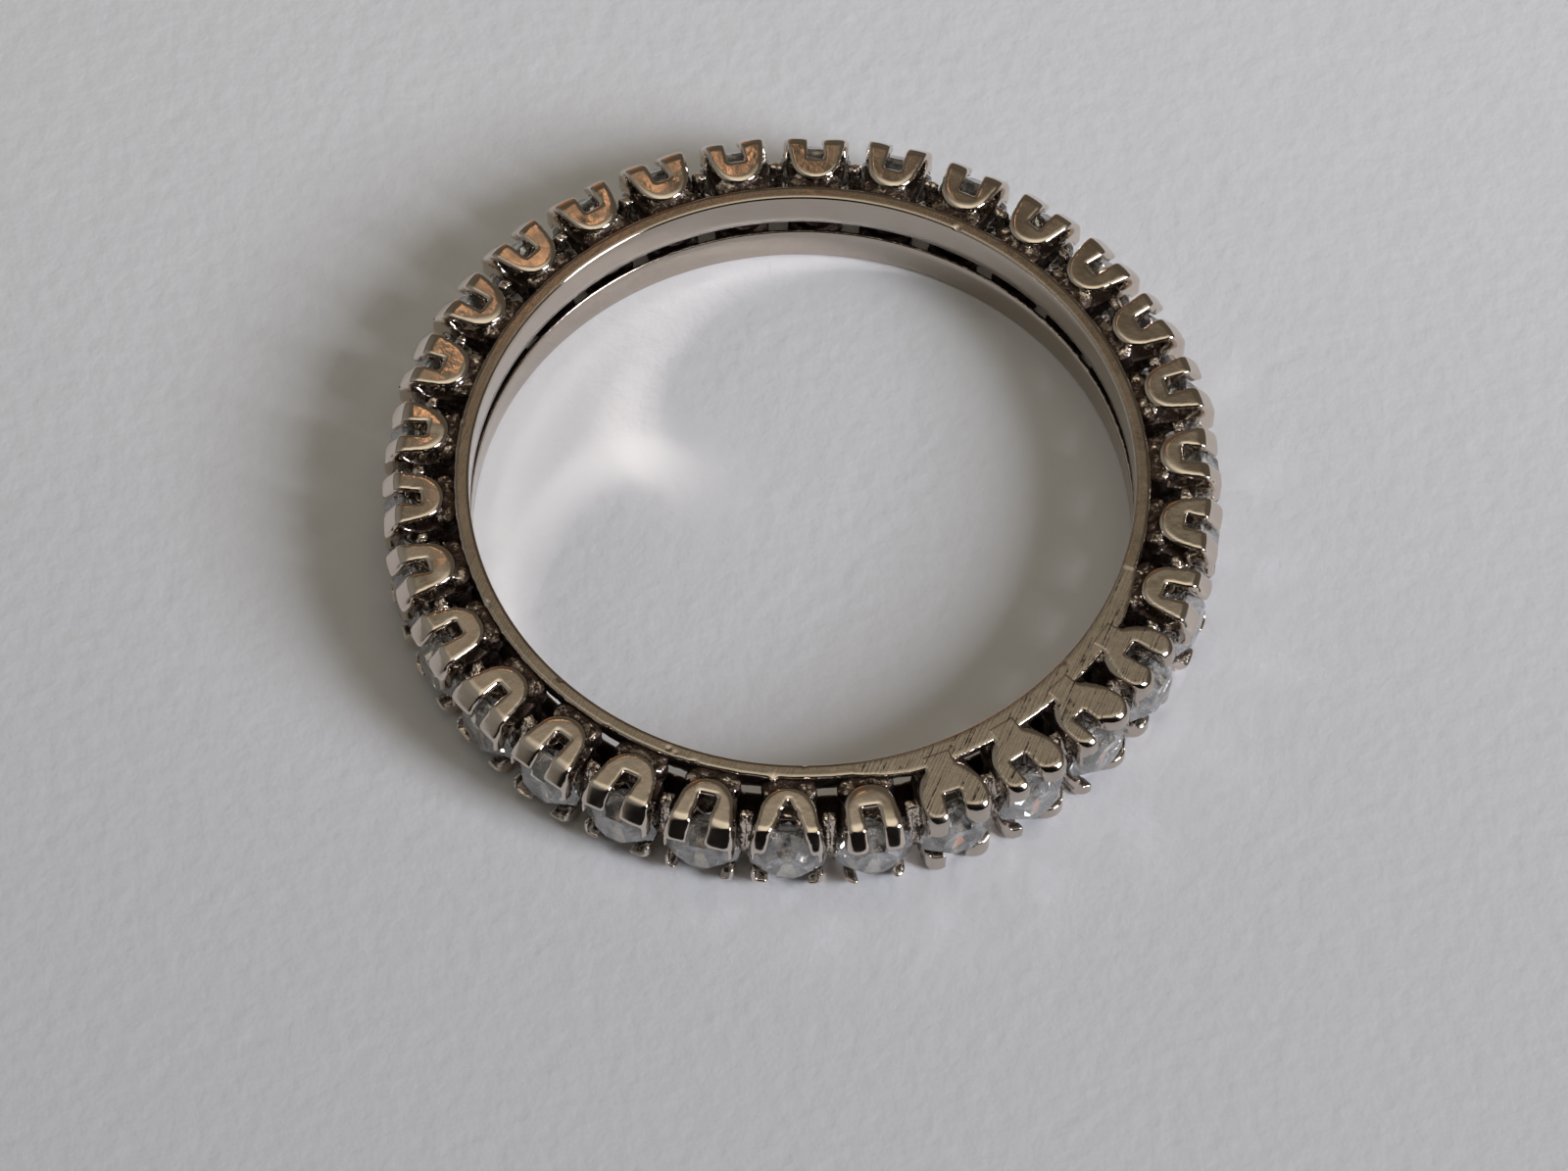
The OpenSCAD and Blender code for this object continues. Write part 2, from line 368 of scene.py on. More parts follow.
@dataclass(frozen=True)
class RingSizes:
    """The ring's sizes. The main ones are the same as in the part's source."""

    finger_r: float = 8.5
    half_h: float = 1.35
    rail_t: float = 0.4
    rail_h: float = 1.12
    rail_wall_h: float = 0.42
    rail_lip_t: float = 0.08
    stone_count: int = 30
    stone_r: float = 1.0
    table_r: float = 0.55
    crown_h: float = 0.36
    girdle_h: float = 0.17
    pavilion_h: float = 0.8
    girdle_top: float = 10.36
    stone_fit: float = 0.03
    crown_fit: float = 0.012
    half_w: float = 0.98
    nose_sink: float = 0.1
    arch_length: float = 1.75
    arch_low: float = 0.95
    arch_step: float = 0.2
    shoulder_gap: float = 0.28
    shoulder_filed: float = 0.02
    taper: float = 0.27
    back_taper: float = 1.0
    base_hole_r: float = 0.35
    ledge_w: float = 0.16
    floor_r: float = 0.58
    floor_drop: float = 0.08
    claw_rise: float = 0.43
    front_reach: float = 11.0
    view_w: float = 1.6
    shoulder_r: float = 0.5
    front_lean: float = 65.0
    slope_lean: float = 39.0
    tip_curve_r: float = 0.15
    tip_lean: float = 34.0
    slot_depth: float = 0.56
    gap_depth: float = 0.26
    web_t: float = 0.24
    web_inset: float = 0.34
    web_dish: float = 0.35
    pad_r: float = 0.42
    pad_half_w: float = 0.7
    pad_drop: float = 0.15
    pad_sink: float = 0.22
    pad_shine: float = 0.15
    # Collets' flanks inside this radius are darkened: painted shade as well as grime.
    recess_r: float = 10.05
    filed_at: float = -48.0
    filed_span: float = 64.0
    filed_reach: float = 0.25
    filed_t: float = 0.2
    filed_offset_share: float = 0.28
    flush_margin: float = 10.0
    flush_w: float = 0.8
    flush_lap: float = 0.12
    filed_drop: float = 0.006
    face_drop: float = 0.003
    dull_flush: float = 0.4

    @property
    def rail_out_r(self) -> float:
        """Outside radius of a rail."""
        return self.finger_r + self.rail_t

    @property
    def pitch(self) -> float:
        """Angle between two settings in degrees."""
        return 360 / self.stone_count

    @property
    def girdle_low(self) -> float:
        """Distance from the axis to the lower edge of the girdles."""
        return self.girdle_top - self.girdle_h

    def bearing(self, number: int) -> float:
        """Direction of a setting in degrees, where number one faces the camera."""
        return -90 + (number - 1) * self.pitch

    def runs_flush(self, number: int) -> bool:
        """Whether the filed stretch runs into this collet."""
        return abs(off_bearing(self.bearing(number), self.filed_at)) < self.filed_span / 2 - self.flush_margin


@dataclass(frozen=True)
class Traits:
    """What the hand made different from one collet to the next."""

    slot_w: float
    slot_start: float
    slot_shift: float
    slot_lean: float
    slot_round: float
    low_slot_w: float
    width: float
    gap_h: float
    gap_drop: float
    claw_dome: float
    claw_side: float
    shoulder_start: float
    shoulder_round: float
    lift: float
    tip_z: float
    wear: float
    low_wear: float
    lump: float
    notch_start: float = 0.0
    notch_spread: float = 0.5
    arch_set: float = 0.36
    arch_flare: float = 0.22
    claw_at: float = 0.52
    front_r: float = 0.12
    slope_r: float = 5.6
    tip_r: float = 0.46

    @staticmethod
    def drawn(number: int, flush: bool) -> "Traits":
        """Draws a collet's traits from its number and puts in those that are plainly seen.

        Args:
            number: the setting's number.
            flush: whether the filed stretch runs into this collet.

        Returns:
            Traits close to the usual ones.
        """
        draw = np.random.default_rng(4100 + number)
        traits = Traits(
            slot_w=0.41 + draw.uniform(-0.05, 0.05), slot_start=9.78 + draw.uniform(-0.1, 0.1),
            slot_shift=draw.uniform(-0.05, 0.05), slot_lean=draw.uniform(-0.12, 0.12),
            slot_round=0.07 + draw.uniform(-0.02, 0.03), low_slot_w=0.5 + draw.uniform(-0.08, 0.2),
            width=0.95 + draw.uniform(-0.03, 0.02),
            gap_h=0.72 + draw.uniform(-0.08, 0.08), gap_drop=0.1 + draw.uniform(-0.05, 0.05),
            claw_dome=1.5 + draw.uniform(-0.4, 0.5), claw_side=0.2 + draw.uniform(-0.06, 0.08),
            shoulder_start=10.29 + draw.uniform(-0.05, 0.0),
            shoulder_round=0.07 + draw.uniform(-0.02, 0.03),
            lift=draw.uniform(-0.02, 0.02), tip_z=0.8 + draw.uniform(-0.05, 0.05), wear=draw.uniform(0, 0.02),
            low_wear=0.04 + draw.uniform(0, 0.04), lump=0.02 + draw.uniform(0, 0.012),
        )
        if flush:
            traits = replace(
                traits, shoulder_round=0.05, claw_dome=0.45, claw_side=0.26, arch_set=0.26, arch_flare=0.08,
                shoulder_start=10.28 + draw.uniform(-0.03, 0.03), lift=0.075, front_r=0.5, slope_r=0.5,
                slot_start=10.0 + draw.uniform(-0.04, 0.06), slot_round=0.05,
            )
        return replace(traits, **SEEN_TRAITS.get(number, {}))


SEEN_TRAITS: dict[int, dict[str, float]] = {
    1: dict(slot_w=0.42, slot_start=9.78, notch_start=9.46, notch_spread=0.44, slot_shift=0.02,
        slot_lean=0.0, width=0.97, low_slot_w=1.0, claw_dome=1.3, low_wear=0.08, tip_z=0.76,
        shoulder_start=10.21, wear=0.0),
    2: dict(width=0.82, slot_w=0.4, slot_start=9.83, claw_dome=0.6, claw_at=0.46, claw_side=0.3,
        low_slot_w=0.9, tip_z=0.74, shoulder_start=10.28, arch_flare=0.12),
    3: dict(width=0.93, slot_start=9.98, slot_lean=-0.15, claw_dome=0.45, shoulder_start=10.28,
        tip_z=0.56),
    4: dict(width=0.95, slot_start=9.86, slot_shift=-0.17, claw_dome=0.45, slot_w=0.46),
    5: dict(width=0.96, slot_start=9.85, slot_shift=-0.24, claw_dome=0.45, shoulder_start=10.31),
    6: dict(slot_start=9.68, shoulder_start=10.25),
    # The next five stand where the ring is widest or tallest, so their claws stay inside its measured size.
    8: dict(shoulder_start=10.19),
    9: dict(shoulder_start=10.17),
    16: dict(shoulder_start=10.19),
    23: dict(shoulder_start=10.18),
    24: dict(shoulder_start=10.19),
    28: dict(slot_start=9.7),
    29: dict(slot_start=9.74, slot_lean=-0.1, width=0.97, wear=0.04, low_slot_w=0.9,
         low_wear=0.1),
    30: dict(slot_start=9.62, slot_lean=-0.05, width=0.95, slot_w=0.44, low_slot_w=1.1,
         low_wear=0.1, claw_dome=1.2),
}


@dataclass
class Collet:
    """One slotted collet with its four claws, its web and its solder."""

    number: int
    sizes: RingSizes
    traits: Traits
    flush: bool
    uneven: Lattice
    body_round: float = 0.1
    nose_round: float = 0.06
    side_round: float = 0.08
    slot_edge: float = 0.06
    room_round: float = 0.03
    broad_round: float = 0.12
    gap_round: float = 0.08
    web_round: float = 0.08
    solder_fillet: float = 0.05
    body_fillet: float = 0.09
    saw_drift: float = 0.025
    hand_waver: float = 0.005
    edge_depth: float = 0.06
    shades: tuple[tuple[float, float], ...] = ((0.08, 0.3), (0.2, 0.35), (0.4, 0.35))
    outline: list[tuple[float, float]] = field(init=False)

    def __post_init__(self) -> None:
        """Works out the outline of what is bored out for the stone, as radius and distance from the axis."""
        s = self.sizes
        seat_r = s.stone_r + s.stone_fit
        ledge_r = s.stone_r - s.ledge_w
        seat_low = s.girdle_low - s.stone_fit
        floor_at = s.girdle_low - s.pavilion_h - s.floor_drop
        crown_at = s.girdle_top + s.crown_fit
        tip_r = self.traits.tip_r
        slope = s.crown_h / (s.stone_r - s.table_r)
        top = s.girdle_top + s.claw_rise + 0.5
        self.outline = [
            (-seat_r, s.finger_r),
            (s.base_hole_r, s.finger_r),
            (s.base_hole_r, floor_at),
            (s.floor_r, floor_at),
            (ledge_r, seat_low - (seat_r - ledge_r) * s.pavilion_h / s.stone_r),
            (seat_r, seat_low),
            (seat_r, crown_at),
            (tip_r, crown_at + (seat_r - tip_r) * slope),
            (tip_r, top),
            (-seat_r, top),
        ]

    def front(self, at: Place) -> Array:
        """Distance to the claws' outer side: flat face, then three arcs, each of which meets the last.

        Args:
            at: distances outwards, along the row and up.

        Returns:
            The distance field.
        """
        x, y, z = at
        s, t = self.sizes, self.traits
        worn = np.where(z > 0, t.wear, t.wear + t.low_wear)
        off = np.minimum(np.abs(np.abs(y) - t.claw_at), 0.6)
        along = x + worn + off * off / (2 * t.claw_dome)
        rise = np.abs(z)
        start, lift = t.shoulder_start, s.half_h + t.lift
        shoulder = np.hypot(along - start, rise - lift + s.shoulder_r) - s.shoulder_r
        found = np.where(along < start, rise - lift, shoulder)
        at, up, last = start, lift - s.shoulder_r, s.shoulder_r
        for radius, lean in ((t.front_r, s.front_lean), (t.slope_r, s.slope_lean), (s.tip_curve_r, s.tip_lean)):
            turn = math.radians(lean)
            at += (last - radius) * math.cos(turn)
            up += (last - radius) * math.sin(turn)
            past = np.arctan2(rise - up, along - at) < turn
            found = np.where(past, np.hypot(along - at, rise - up) - radius, found)
            last = radius
        return np.where(rise < up, along - at - last, found)

    def blank(self, at: Place) -> Array:
        """Distance to the collet before it is bored and slotted.

        Args:
            at: distances outwards, along the row and up.

        Returns:
            The distance field.
        """
        x, y, z = at
        s, t = self.sizes, self.traits
        rho = np.hypot(y, z)
        shoulder_r = s.half_h + s.shoulder_filed
        shoulder_at = s.rail_out_r + s.shoulder_gap
        half_w = s.half_w * t.width
        flare = (rho - shoulder_r - s.taper * (x - shoulder_at)) / math.hypot(1, s.taper)
        back = (rho - shoulder_r + s.back_taper * (shoulder_at - x)) / math.hypot(1, s.back_taper)
        raised = np.clip((np.abs(z) - s.arch_low) / s.arch_step, 0, 1)
        into = x - (s.rail_out_r - s.nose_sink + t.arch_set * raised)
        slant = math.hypot(1, t.arch_flare)
        arch_r = (half_w - t.arch_flare * s.arch_length) / (slant - t.arch_flare)
        flank = (np.abs(y) - half_w + t.arch_flare * (s.arch_length - into)) / slant
        nose = np.hypot(into - arch_r, y) - arch_r
        nose = np.where(into - arch_r + np.abs(y) * t.arch_flare > 0, flank, nose)
        side = slab(y, 0, half_w)
        body = smooth_max(flare, back, self.body_round)
        body = smooth_max(body, nose, self.nose_round)
        body = smooth_max(body, side, self.side_round)
        return smooth_max(body, smooth_max(self.front(at), side, t.claw_side), t.shoulder_round)

    def slot(self, at: Place) -> Array:
        """Distance to the slot through the band's two faces.

        Args:
            at: distances outwards, along the row and up.

        Returns:
            The distance field.
        """
        x, y, z = at
        s, t = self.sizes, self.traits
        off = y - t.slot_shift - t.slot_lean * (x - t.slot_start)
        off = off + self.saw_drift * self.uneven.at((x, z + 9 * self.number, z), 0.3)
        half = np.where(z > 0, t.slot_w, t.low_slot_w) / 2
        start = np.where(z > 0, t.slot_start, s.girdle_top - s.slot_depth)
        slot = smooth_max(np.abs(off) - half, start - x, self.slot_edge)
        if t.notch_start:
            run = x - t.notch_start
            notch = np.maximum(np.abs(off) - t.notch_spread * run, s.half_h - run - z) * 0.8
            slot = np.minimum(slot, notch)
        return slot

    def pads(self, at: Place) -> Array:
        """Distance to the solder between the collet's back and the two rails.

        Args:
            at: distances outwards, along the row and up.

        Returns:
            The distance field.
        """
        x, y, z = at
        s = self.sizes
        pad_at = s.rail_out_r - s.pad_sink + s.pad_r
        pad_mid = (s.half_h - s.pad_drop + s.floor_r) / 2
        spread = np.hypot((x - pad_at) / s.pad_r, y / s.pad_half_w)
        height = slab(np.abs(z), pad_mid, s.half_h - s.pad_drop - pad_mid)
        return smooth_max((spread - 1) * s.pad_r, height, self.broad_round)

    def webs(self, at: Place) -> Array:
        """Distance to the upright webs between the collet and its neighbours.

        Args:
            at: distances outwards, along the row and up.

        Returns:
            The distance field.
        """
        x, y, z = at
        s = self.sizes
        found = np.full(np.broadcast(x, y, z).shape, 9.0)
        for side in (1, -1):
            along, across = rotated(x, y, -s.pitch / 2 * side)
            web_at = s.girdle_top - s.gap_depth - s.web_t / 2 - s.web_dish * (z / s.half_h) ** 2
            web = smooth_max(slab(along, web_at, s.web_t / 2), slab(across * side, -0.06, 0.1), 0.04)
            web = smooth_max(web, slab(z, 0, s.half_h - s.web_inset), self.web_round)
            found = smooth_min(found, web, self.solder_fillet)
        return found

    def solder(self, at: Place) -> Array:
        """Distance to all solder at the collet, with its lumps.

        Args:
            at: distances outwards, along the row and up.

        Returns:
            The distance field.
        """
        x, y, z = at
        lumps = self.uneven.at((x + 3 * self.number, y, z), 0.15)
        grains = self.uneven.at((x, y + 4 * self.number, z), 0.07)
        plain = smooth_min(self.pads(at), self.webs(at), self.solder_fillet)
        return plain + self.traits.lump * (lumps + 0.6 * grains)

    def metal(self, at: Place) -> Array:
        """Distance to the finished collet.

        Args:
            at: distances outwards, along the row and up.

        Returns:
            The distance field, negative inside the metal.
        """
        x, y, z = at
        s, t = self.sizes, self.traits
        body = self.blank(at)
        if self.flush:
            inner = s.rail_out_r - s.flush_lap
            outer = s.rail_out_r + s.shoulder_gap + s.flush_lap
            join = np.maximum(slab(x, (inner + outer) / 2, (outer - inner) / 2), slab(y, 0, s.flush_w / 2))
            join = np.maximum(join, slab(z, s.half_h - s.filed_t / 2, s.filed_t / 2))
            body = smooth_min(body, join, self.solder_fillet)
        body = smooth_min(body, self.solder(at), self.body_fillet)
        rho = np.hypot(y, z)
        room = outline_distance(rho, x, self.outline)
        slope = s.crown_h / (s.stone_r - s.table_r)
        crown = s.girdle_top + s.crown_fit + (s.stone_r + s.stone_fit - rho) * slope
        view = smooth_max(slab(y, 0, s.view_w / 2), slab(z, 0, t.tip_z), self.broad_round)
        room = np.minimum(room, np.maximum(view, crown - x))
        gap = smooth_max(slab(z, -t.gap_drop, t.gap_h / 2), s.girdle_top - s.gap_depth - x, self.slot_edge)
        slot = self.slot(at)
        for cut, rounding in ((room, self.room_round), (slot, t.slot_round), (gap, self.gap_round)):
            body = smooth_max(body, -cut, rounding)
        body = body + self.hand_waver * self.uneven.at((x, y + 5 * self.number, z), 0.4)
        return np.maximum(body, slab(z, 0, s.half_h - s.face_drop))

    def around(self, at: Place) -> Array:
        """Distance to the metal near the collet: itself, two neighbours like it, and the rails.

        Args:
            at: distances outwards, along the row and up.

        Returns:
            The distance field.
        """
        x, y, z = at
        s = self.sizes
        found = self.metal(at)
        for side in (1, -1):
            found = np.minimum(found, self.blank((*rotated(x, y, -s.pitch * side), z)))
        radius = np.hypot(x, y)
        wall = slab(radius, s.finger_r + s.rail_t / 2, s.rail_t / 2)
        rail = np.maximum(wall, slab(np.abs(z), s.half_h - s.rail_h / 2, s.rail_h / 2))
        return np.minimum(found, rail)

    def build(self, skin: Skin, material: Material) -> Object:
        """Makes the collet's mesh where it stands on the ring.

        Args:
            skin: what turns the distance field into a mesh.
            material: the metal's finish.

        Returns:
            The finished piece.
        """
        s = self.sizes
        low = (s.rail_out_r - 0.25, -s.half_w - 0.14, -s.half_h - 0.1)
        high = (s.front_reach, s.half_w + 0.14, s.half_h + 0.1)
        points, quads = skin.wrap(self.metal, low, high)
        shares = self.shares(points, skin.normals(self.metal, points))
        shown = np.stack([*rotated(points[:, 0], points[:, 1], s.bearing(self.number)), points[:, 2]], 1)
        piece = mesh_piece(f"collet_{self.number:02d}", shown, quads, material)
        mark(piece, shown, shares)
        return piece

    def shares(self, points: Array, normal: Array) -> dict[str, Array]:
        """Works out how hidden, filed, worn and dull the metal is at each point.

        Args:
            points: the mesh's points before the collet is turned to its place.
            normal: the surface's outward direction at each of them.

        Returns:
            Name to one share for each point.
        """
        s = self.sizes
        out, rise = points[:, 0], np.abs(points[:, 2])
        # Painted shade as well as grime: the share grows where nearby metal of the collet, its neighbours and
        # the rails hides the surface, so recesses come out darker.
        hidden = np.zeros(len(points))
        for reach, share in self.shades:
            away = points + normal * reach
            hidden += share * (1 - np.clip(self.around(away.T) / reach, 0, 1))
        # Painted shade as well as grime: the flanks below the flat face, back towards the rails, are darkened
        # further.
        below_face = np.clip((s.half_h - 0.03 - rise) / 0.15, 0, 1)
        hidden += 0.5 * (below_face * np.clip((s.recess_r - out) / 0.5, 0, 1))
        face = np.clip((rise - s.half_h + 0.03) / 0.02, 0, 1)
        # An edge is where little metal lies below the surface.
        inside = self.metal((points - normal * self.edge_depth).T)
        edge = np.clip((1 + inside / self.edge_depth - 0.08) / 0.3, 0, 1)
        edge = edge * np.clip((out - s.rail_out_r - 0.25) / 0.15, 0, 1)
        top = np.clip((rise - 0.95) / 0.1, 0, 1)
        web, pad = (np.clip(1.4 - np.abs(part(points.T)) / 0.05, 0, 1) for part in (self.webs, self.pads))
        return {"dirt_and_shade": hidden, "filed": face * self.flush, "edge": edge,
                "web": np.maximum(web, s.pad_shine * top * pad),
                "dull": np.full(len(points), s.dull_flush * self.flush)}


class RailSide(Enum):
    """Which of the two rails is made."""

    UPPER = 1
    LOWER = -1


@dataclass(frozen=True)
class Blow:
    """A nick or a lump in the upper rail's top edge."""

    bearing: float
    radius: float
    width: float
    depth: float
    outward: float


BLOWS = (
    Blow(-110.4, 8.72, 0.05, 0.02, 0.0),
    Blow(-109.2, 8.78, 0.04, 0.02, 0.0),
    Blow(-92.6, 8.9, 0.07, 0.03, 0.14),
    Blow(-87.5, 8.52, 0.04, 0.05, 0.0),
    Blow(-105.6, 8.9, 0.06, 0.05, -0.03),
    Blow(-121.0, 8.9, 0.05, 0.04, -0.02),
    Blow(-133.0, 8.56, 0.05, 0.05, 0.0),
    Blow(-152.0, 8.88, 0.06, 0.05, 0.02),
    Blow(-38.0, 8.53, 0.05, 0.04, 0.0),
    Blow(172.0, 8.9, 0.06, 0.05, 0.03),
    Blow(64.0, 8.55, 0.06, 0.04, 0.0),
)


@dataclass
class Rail:
    """One plain hoop, filed broad on a stretch if it is the upper one."""

    side: RailSide
    sizes: RingSizes
    uneven: Lattice
    steps: int = 1080
    rounding: float = 0.07
    filed_bevel: float = 0.05
    burrs: tuple[tuple[float, float, float], ...] = ((0.014, 0, 0.3), (0.012, 7, 0.09))
    dull_plain: float = 0.6
    dull_filed: float = 0.4

    def reach(self, angle: Array) -> Array:
        """Distance by which the filed edge stands out past the plain rail.

        Args:
            angle: directions in degrees.

        Returns:
            The distance at each direction, zero outside the filed stretch.
        """
        s = self.sizes
        if self.side is RailSide.LOWER:
            return np.zeros(angle.shape)
        filed_r = s.rail_out_r + s.filed_reach
        offset = filed_r * s.filed_offset_share
        half = math.radians(s.filed_span / 2)
        disc_r = math.sqrt(s.rail_out_r ** 2 + offset ** 2 - 2 * s.rail_out_r * offset * math.cos(half))
        off = np.radians(off_bearing(angle, s.filed_at))
        edge = offset * np.cos(off) + np.sqrt(disc_r ** 2 - (offset * np.sin(off)) ** 2)
        return np.clip(np.minimum(edge, filed_r) - s.rail_out_r, 0, None)

    def section(self, out: float) -> list[tuple[float, float, float]]:
        """The rail's section with its outer edge moved out.

        Args:
            out: distance by which the filed edge stands out here.

        Returns:
            Radius, height and the share of dirt and painted shade of the section's corners in order, the same
            number at any reach.
        """
        s, r = self.sizes, self.rounding
        top, low = s.half_h - s.filed_drop * (out > 0.02), s.half_h - s.rail_h
        arc = np.radians((22.5, 45, 67.5))
        points = [(s.finger_r, z, 0.0) for z in np.linspace(low + s.rail_lip_t / 3, top - r, 5)]
        points += [(s.finger_r + r - r * math.cos(a), top - r + r * math.sin(a), 0.0) for a in arc]
        edge = s.rail_out_r + out
        bevel = r if out < 0.02 else self.filed_bevel
        points += [(x, top, 0.0) for x in np.linspace(s.finger_r + r, edge - bevel, 6)]
        points += [(edge - bevel + bevel * math.sin(a), top - bevel + bevel * math.cos(a), 0.1) for a in arc]
        under = min(s.filed_t, s.rail_wall_h)
        # From the filed edge downwards, the outer wall and the lip take a high share, which paints shade into
        # the recess by the collets as well as grime.
        points += [(edge, top - z, 0.8) for z in (0.08, 0.13, under - 0.02)]
        points += [(s.rail_out_r + out * 0.6, top - under - 0.02, 1.0), (s.rail_out_r, top - under - 0.06, 1.0)]
        wall_low = top - s.rail_wall_h
        points += [(s.rail_out_r, wall_low, 1.0)]
        lip = (s.finger_r + s.rail_lip_t, low)
        points += [(s.rail_out_r + (lip[0] - s.rail_out_r) * k, wall_low + (lip[1] - wall_low) * k, 1.0)
                   for k in (0.03, 0.33, 0.66, 1)]
        points += [(s.finger_r + s.rail_lip_t / 3, low, 0.6)]
        return points

    def build(self, material: Material) -> Object:
        """Sweeps the section round the ring.

        Args:
            material: the metal's finish.

        Returns:
            The finished piece.
        """
        s = self.sizes
        angle = np.arange(self.steps) * 360 / self.steps
        out = self.reach(angle)
        rows = np.array([self.section(each) for each in out])
        radius, height, dirt_and_shade = rows[:, :, 0], rows[:, :, 1], rows[:, :, 2]
        turn = np.radians(angle)[:, None]
        x, y = radius * np.cos(turn), radius * np.sin(turn)
        outer = np.clip((radius - s.rail_out_r + 0.1) / 0.1, 0, 1)
        burr = sum(size * self.uneven.at((x, y, height + lift), pitch) for size, lift, pitch in self.burrs)
        radius = radius + outer * (burr - 0.008)
        deep = np.clip(dirt_and_shade * 2 - 1, 0, 1)
        radius = radius + deep * 0.02 * self.uneven.at((x, y, height + 3), 0.12)
        if self.side is RailSide.UPPER:
            for blow in BLOWS:
                near = np.radians(off_bearing(angle, blow.bearing))[:, None] * radius
                share = np.exp(-(near / blow.width) ** 2 - ((radius - blow.radius) / blow.width) ** 2)
                share = share * np.clip((height - s.half_h + 0.2) / 0.15, 0, 1)
                dirt_and_shade = np.maximum(dirt_and_shade, share ** 3 * (blow.outward <= 0))
                height = height - share * blow.depth
                radius = radius + share * blow.outward
        x, y = radius * np.cos(turn), radius * np.sin(turn)
        z = np.minimum(height, s.half_h) * self.side.value
        points = np.stack([x, y, z], 2).reshape(-1, 3)
        count = rows.shape[1]
        first = np.arange(self.steps)[:, None] * count + np.arange(count)[None, :]
        ahead = np.roll(first, -1, 0)
        quads = np.stack([first, ahead, np.roll(ahead, -1, 1), np.roll(first, -1, 1)], 2).reshape(-1, 4)
        if self.side is RailSide.UPPER:
            quads = quads[:, ::-1]
        piece = mesh_piece(f"rail_{self.side.name.lower()}", points, quads, material)
        filed = np.clip(out / 0.05, 0, 1)[:, None]
        flat = (height > s.half_h - 0.01) * np.maximum(filed, 0.25)
        rim = np.isin(np.arange(count), (5, 6, 7, 13, 14, 15))[None, :] * np.ones((self.steps, 1))
        wall = radius < s.finger_r + 0.02
        top = self.dull_plain + (self.dull_filed - self.dull_plain) * filed
        dull = np.where(wall, self.dull_plain, top * (height > s.half_h - 0.01))
        shares = {"dirt_and_shade": dirt_and_shade, "filed": flat, "edge": rim, "web": np.zeros(rim.shape), "dull": dull}
        mark(piece, points, {name: share.ravel() for name, share in shares.items()})
        return piece


